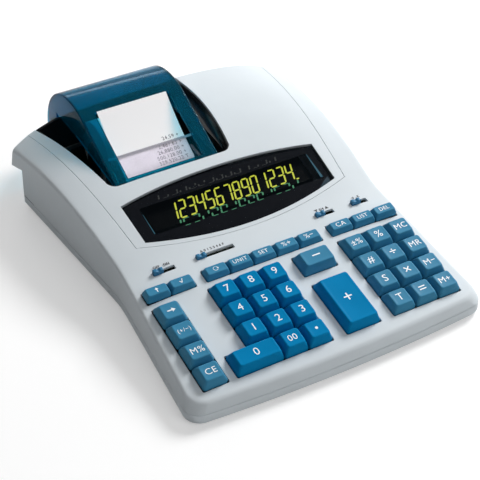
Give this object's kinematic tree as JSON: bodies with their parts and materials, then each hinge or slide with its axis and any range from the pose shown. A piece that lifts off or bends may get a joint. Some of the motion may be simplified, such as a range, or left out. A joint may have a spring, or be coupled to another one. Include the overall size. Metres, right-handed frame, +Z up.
{
  "type": "printing calculator",
  "caption": "Desktop printing calculator with sloping keyboard, bowed display window, slide switches and a smoked hinged hood over the paper roll.",
  "frame": {"origin": "on the table under the middle of the machine's bounding box", "axes": "+X to the user's right, +Y from the keyboard to the printer, +Z up"},
  "size_m": [0.235, 0.3262, 0.0815],
  "materials": {
    "housing": "fine grained light grey plastic",
    "dark_lens": "dark smoked lens",
    "tube_glass": "glass envelope",
    "black_plastic": "satin black plastic",
    "smoked_hood": "transparent teal plastic",
    "clear_plastic": "clear plastic",
    "paper": "matte white paper",
    "black_rubber": "matte black rubber",
    "dark_plastic": "satin dark grey",
    "board": "green laminate",
    "gray_rubber": "silicone rubber",
    "screw_steel": "zinc plated",
    "blue_keys": "satin vivid blue",
    "teal_keys": "satin steel blue"
  },
  "bodies": {
    "housing": {"bottom_case": "housing", "top_case": "housing", "upper_cover": "housing", "display_window": "dark_lens", "display_tube": "tube_glass", "printer_tub": "black_plastic", "print_mechanism": "dark_plastic", "circuit_board": "board", "key_mat": "gray_rubber", "feet": "black_rubber", "case_screws": "screw_steel"},
    "hood": {"printer_cover": "smoked_hood", "tear_bar": "clear_plastic", "paper_strip": "paper"},
    "roll": {"paper_roll": "paper"},
    "feed": {"feed_roller": "black_rubber"},
    "key_double_zero_cap": {"key_double_zero": "blue_keys"},
    "key_point_cap": {"key_point": "blue_keys"},
    "key_1_cap": {"key_1": "blue_keys"},
    "key_2_cap": {"key_2": "blue_keys"},
    "key_3_cap": {"key_3": "blue_keys"},
    "key_4_cap": {"key_4": "blue_keys"},
    "key_5_cap": {"key_5": "blue_keys"},
    "key_6_cap": {"key_6": "blue_keys"},
    "key_7_cap": {"key_7": "blue_keys"},
    "key_8_cap": {"key_8": "blue_keys"},
    "key_9_cap": {"key_9": "blue_keys"},
    "key_0_cap": {"key_0": "blue_keys"},
    "key_plus_cap": {"key_plus": "blue_keys"},
    "key_clear_entry_cap": {"key_clear_entry": "teal_keys"},
    "key_margin_cap": {"key_margin": "teal_keys"},
    "key_sign_change_cap": {"key_sign_change": "teal_keys"},
    "key_right_shift_cap": {"key_right_shift": "teal_keys"},
    "key_minus_cap": {"key_minus": "teal_keys"},
    "key_total_cap": {"key_total": "teal_keys"},
    "key_equals_cap": {"key_equals": "teal_keys"},
    "key_memory_plus_cap": {"key_memory_plus": "teal_keys"},
    "key_subtotal_cap": {"key_subtotal": "teal_keys"},
    "key_times_cap": {"key_times": "teal_keys"},
    "key_memory_minus_cap": {"key_memory_minus": "teal_keys"},
    "key_number_date_cap": {"key_number_date": "teal_keys"},
    "key_divide_cap": {"key_divide": "teal_keys"},
    "key_memory_recall_cap": {"key_memory_recall": "teal_keys"},
    "key_change_percent_cap": {"key_change_percent": "teal_keys"},
    "key_percent_cap": {"key_percent": "teal_keys"},
    "key_memory_clear_cap": {"key_memory_clear": "teal_keys"},
    "key_paper_feed_cap": {"key_paper_feed": "teal_keys"},
    "key_root_cap": {"key_root": "teal_keys"},
    "key_convert_cap": {"key_convert": "teal_keys"},
    "key_local_cap": {"key_local": "teal_keys"},
    "key_rate_cap": {"key_rate": "teal_keys"},
    "key_tax_plus_cap": {"key_tax_plus": "teal_keys"},
    "key_tax_minus_cap": {"key_tax_minus": "teal_keys"},
    "key_all_clear_cap": {"key_all_clear": "teal_keys"},
    "key_recall_cap": {"key_recall": "teal_keys"},
    "key_void_cap": {"key_void": "teal_keys"},
    "switch_print_knob": {"switch_print": "blue_keys"},
    "switch_decimal_knob": {"switch_decimal": "blue_keys"},
    "switch_rounding_knob": {"switch_rounding": "blue_keys"},
    "switch_mode_knob": {"switch_mode": "blue_keys"}
  },
  "joints": [
    {"name": "hood_hinge", "type": "hinge", "parent": "housing", "child": "hood", "pos_m": [-0.032, 0.15487, 0.036], "axis": [-1, 0, 0], "range_deg": [0, 75]},
    {"name": "roll_turn", "type": "hinge", "parent": "housing", "child": "roll", "pos_m": [-0.032, 0.09886, 0.0365], "axis": [1, 0, 0], "continuous": true},
    {"name": "feed_turn", "type": "hinge", "parent": "housing", "child": "feed", "pos_m": [-0.032, 0.05187, 0.037], "axis": [1, 0, 0], "continuous": true},
    {"name": "key_double_zero_press", "type": "slide", "parent": "housing", "child": "key_double_zero_cap", "axis": [0, 0.165, -0.9863], "range_m": [0, 0.003], "stiffness_N_per_m": 200, "springref_m": -0.002, "deforming": ["key_mat"]},
    {"name": "key_point_press", "type": "slide", "parent": "housing", "child": "key_point_cap", "axis": [0, 0.165, -0.9863], "range_m": [0, 0.003], "stiffness_N_per_m": 200, "springref_m": -0.002, "deforming": ["key_mat"]},
    {"name": "key_1_press", "type": "slide", "parent": "housing", "child": "key_1_cap", "axis": [0, 0.165, -0.9863], "range_m": [0, 0.003], "stiffness_N_per_m": 200, "springref_m": -0.002, "deforming": ["key_mat"]},
    {"name": "key_2_press", "type": "slide", "parent": "housing", "child": "key_2_cap", "axis": [0, 0.165, -0.9863], "range_m": [0, 0.003], "stiffness_N_per_m": 200, "springref_m": -0.002, "deforming": ["key_mat"]},
    {"name": "key_3_press", "type": "slide", "parent": "housing", "child": "key_3_cap", "axis": [0, 0.165, -0.9863], "range_m": [0, 0.003], "stiffness_N_per_m": 200, "springref_m": -0.002, "deforming": ["key_mat"]},
    {"name": "key_4_press", "type": "slide", "parent": "housing", "child": "key_4_cap", "axis": [0, 0.165, -0.9863], "range_m": [0, 0.003], "stiffness_N_per_m": 200, "springref_m": -0.002, "deforming": ["key_mat"]},
    {"name": "key_5_press", "type": "slide", "parent": "housing", "child": "key_5_cap", "axis": [0, 0.165, -0.9863], "range_m": [0, 0.003], "stiffness_N_per_m": 200, "springref_m": -0.002, "deforming": ["key_mat"]},
    {"name": "key_6_press", "type": "slide", "parent": "housing", "child": "key_6_cap", "axis": [0, 0.165, -0.9863], "range_m": [0, 0.003], "stiffness_N_per_m": 200, "springref_m": -0.002, "deforming": ["key_mat"]},
    {"name": "key_7_press", "type": "slide", "parent": "housing", "child": "key_7_cap", "axis": [0, 0.165, -0.9863], "range_m": [0, 0.003], "stiffness_N_per_m": 200, "springref_m": -0.002, "deforming": ["key_mat"]},
    {"name": "key_8_press", "type": "slide", "parent": "housing", "child": "key_8_cap", "axis": [0, 0.165, -0.9863], "range_m": [0, 0.003], "stiffness_N_per_m": 200, "springref_m": -0.002, "deforming": ["key_mat"]},
    {"name": "key_9_press", "type": "slide", "parent": "housing", "child": "key_9_cap", "axis": [0, 0.165, -0.9863], "range_m": [0, 0.003], "stiffness_N_per_m": 200, "springref_m": -0.002, "deforming": ["key_mat"]},
    {"name": "key_0_press", "type": "slide", "parent": "housing", "child": "key_0_cap", "axis": [0, 0.165, -0.9863], "range_m": [0, 0.003], "stiffness_N_per_m": 200, "springref_m": -0.002, "deforming": ["key_mat"]},
    {"name": "key_plus_press", "type": "slide", "parent": "housing", "child": "key_plus_cap", "axis": [0, 0.165, -0.9863], "range_m": [0, 0.003], "stiffness_N_per_m": 200, "springref_m": -0.002, "deforming": ["key_mat"]},
    {"name": "key_clear_entry_press", "type": "slide", "parent": "housing", "child": "key_clear_entry_cap", "axis": [0, 0.165, -0.9863], "range_m": [0, 0.003], "stiffness_N_per_m": 200, "springref_m": -0.002, "deforming": ["key_mat"]},
    {"name": "key_margin_press", "type": "slide", "parent": "housing", "child": "key_margin_cap", "axis": [0, 0.165, -0.9863], "range_m": [0, 0.003], "stiffness_N_per_m": 200, "springref_m": -0.002, "deforming": ["key_mat"]},
    {"name": "key_sign_change_press", "type": "slide", "parent": "housing", "child": "key_sign_change_cap", "axis": [0, 0.165, -0.9863], "range_m": [0, 0.003], "stiffness_N_per_m": 200, "springref_m": -0.002, "deforming": ["key_mat"]},
    {"name": "key_right_shift_press", "type": "slide", "parent": "housing", "child": "key_right_shift_cap", "axis": [0, 0.165, -0.9863], "range_m": [0, 0.003], "stiffness_N_per_m": 200, "springref_m": -0.002, "deforming": ["key_mat"]},
    {"name": "key_minus_press", "type": "slide", "parent": "housing", "child": "key_minus_cap", "axis": [0, 0.165, -0.9863], "range_m": [0, 0.003], "stiffness_N_per_m": 200, "springref_m": -0.002, "deforming": ["key_mat"]},
    {"name": "key_total_press", "type": "slide", "parent": "housing", "child": "key_total_cap", "axis": [0, 0.165, -0.9863], "range_m": [0, 0.003], "stiffness_N_per_m": 200, "springref_m": -0.002, "deforming": ["key_mat"]},
    {"name": "key_equals_press", "type": "slide", "parent": "housing", "child": "key_equals_cap", "axis": [0, 0.165, -0.9863], "range_m": [0, 0.003], "stiffness_N_per_m": 200, "springref_m": -0.002, "deforming": ["key_mat"]},
    {"name": "key_memory_plus_press", "type": "slide", "parent": "housing", "child": "key_memory_plus_cap", "axis": [0, 0.165, -0.9863], "range_m": [0, 0.003], "stiffness_N_per_m": 200, "springref_m": -0.002, "deforming": ["key_mat"]},
    {"name": "key_subtotal_press", "type": "slide", "parent": "housing", "child": "key_subtotal_cap", "axis": [0, 0.165, -0.9863], "range_m": [0, 0.003], "stiffness_N_per_m": 200, "springref_m": -0.002, "deforming": ["key_mat"]},
    {"name": "key_times_press", "type": "slide", "parent": "housing", "child": "key_times_cap", "axis": [0, 0.165, -0.9863], "range_m": [0, 0.003], "stiffness_N_per_m": 200, "springref_m": -0.002, "deforming": ["key_mat"]},
    {"name": "key_memory_minus_press", "type": "slide", "parent": "housing", "child": "key_memory_minus_cap", "axis": [0, 0.165, -0.9863], "range_m": [0, 0.003], "stiffness_N_per_m": 200, "springref_m": -0.002, "deforming": ["key_mat"]},
    {"name": "key_number_date_press", "type": "slide", "parent": "housing", "child": "key_number_date_cap", "axis": [0, 0.165, -0.9863], "range_m": [0, 0.003], "stiffness_N_per_m": 200, "springref_m": -0.002, "deforming": ["key_mat"]},
    {"name": "key_divide_press", "type": "slide", "parent": "housing", "child": "key_divide_cap", "axis": [0, 0.165, -0.9863], "range_m": [0, 0.003], "stiffness_N_per_m": 200, "springref_m": -0.002, "deforming": ["key_mat"]},
    {"name": "key_memory_recall_press", "type": "slide", "parent": "housing", "child": "key_memory_recall_cap", "axis": [0, 0.165, -0.9863], "range_m": [0, 0.003], "stiffness_N_per_m": 200, "springref_m": -0.002, "deforming": ["key_mat"]},
    {"name": "key_change_percent_press", "type": "slide", "parent": "housing", "child": "key_change_percent_cap", "axis": [0, 0.165, -0.9863], "range_m": [0, 0.003], "stiffness_N_per_m": 200, "springref_m": -0.002, "deforming": ["key_mat"]},
    {"name": "key_percent_press", "type": "slide", "parent": "housing", "child": "key_percent_cap", "axis": [0, 0.165, -0.9863], "range_m": [0, 0.003], "stiffness_N_per_m": 200, "springref_m": -0.002, "deforming": ["key_mat"]},
    {"name": "key_memory_clear_press", "type": "slide", "parent": "housing", "child": "key_memory_clear_cap", "axis": [0, 0.165, -0.9863], "range_m": [0, 0.003], "stiffness_N_per_m": 200, "springref_m": -0.002, "deforming": ["key_mat"]},
    {"name": "key_paper_feed_press", "type": "slide", "parent": "housing", "child": "key_paper_feed_cap", "axis": [0, 0.165, -0.9863], "range_m": [0, 0.003], "stiffness_N_per_m": 200, "springref_m": -0.002, "deforming": ["key_mat"]},
    {"name": "key_root_press", "type": "slide", "parent": "housing", "child": "key_root_cap", "axis": [0, 0.165, -0.9863], "range_m": [0, 0.003], "stiffness_N_per_m": 200, "springref_m": -0.002, "deforming": ["key_mat"]},
    {"name": "key_convert_press", "type": "slide", "parent": "housing", "child": "key_convert_cap", "axis": [0, 0.165, -0.9863], "range_m": [0, 0.003], "stiffness_N_per_m": 200, "springref_m": -0.002, "deforming": ["key_mat"]},
    {"name": "key_local_press", "type": "slide", "parent": "housing", "child": "key_local_cap", "axis": [0, 0.165, -0.9863], "range_m": [0, 0.003], "stiffness_N_per_m": 200, "springref_m": -0.002, "deforming": ["key_mat"]},
    {"name": "key_rate_press", "type": "slide", "parent": "housing", "child": "key_rate_cap", "axis": [0, 0.165, -0.9863], "range_m": [0, 0.003], "stiffness_N_per_m": 200, "springref_m": -0.002, "deforming": ["key_mat"]},
    {"name": "key_tax_plus_press", "type": "slide", "parent": "housing", "child": "key_tax_plus_cap", "axis": [0, 0.165, -0.9863], "range_m": [0, 0.003], "stiffness_N_per_m": 200, "springref_m": -0.002, "deforming": ["key_mat"]},
    {"name": "key_tax_minus_press", "type": "slide", "parent": "housing", "child": "key_tax_minus_cap", "axis": [0, 0.165, -0.9863], "range_m": [0, 0.003], "stiffness_N_per_m": 200, "springref_m": -0.002, "deforming": ["key_mat"]},
    {"name": "key_all_clear_press", "type": "slide", "parent": "housing", "child": "key_all_clear_cap", "axis": [0, 0.165, -0.9863], "range_m": [0, 0.003], "stiffness_N_per_m": 200, "springref_m": -0.002, "deforming": ["key_mat"]},
    {"name": "key_recall_press", "type": "slide", "parent": "housing", "child": "key_recall_cap", "axis": [0, 0.165, -0.9863], "range_m": [0, 0.003], "stiffness_N_per_m": 200, "springref_m": -0.002, "deforming": ["key_mat"]},
    {"name": "key_void_press", "type": "slide", "parent": "housing", "child": "key_void_cap", "axis": [0, 0.165, -0.9863], "range_m": [0, 0.003], "stiffness_N_per_m": 200, "springref_m": -0.002, "deforming": ["key_mat"]},
    {"name": "switch_print_slide", "type": "slide", "parent": "housing", "child": "switch_print_knob", "axis": [1, 0, 0], "range_m": [0, 0.0092]},
    {"name": "switch_decimal_slide", "type": "slide", "parent": "housing", "child": "switch_decimal_knob", "axis": [1, 0, 0], "range_m": [0, 0.022]},
    {"name": "switch_rounding_slide", "type": "slide", "parent": "housing", "child": "switch_rounding_knob", "axis": [1, 0, 0], "range_m": [0, 0.0076]},
    {"name": "switch_mode_slide", "type": "slide", "parent": "housing", "child": "switch_mode_knob", "axis": [1, 0, 0], "range_m": [0, 0.0062]}
  ],
  "couplings": [
    {"joint": "feed_turn", "follows": "roll_turn", "ratio": 3.9231}
  ]
}
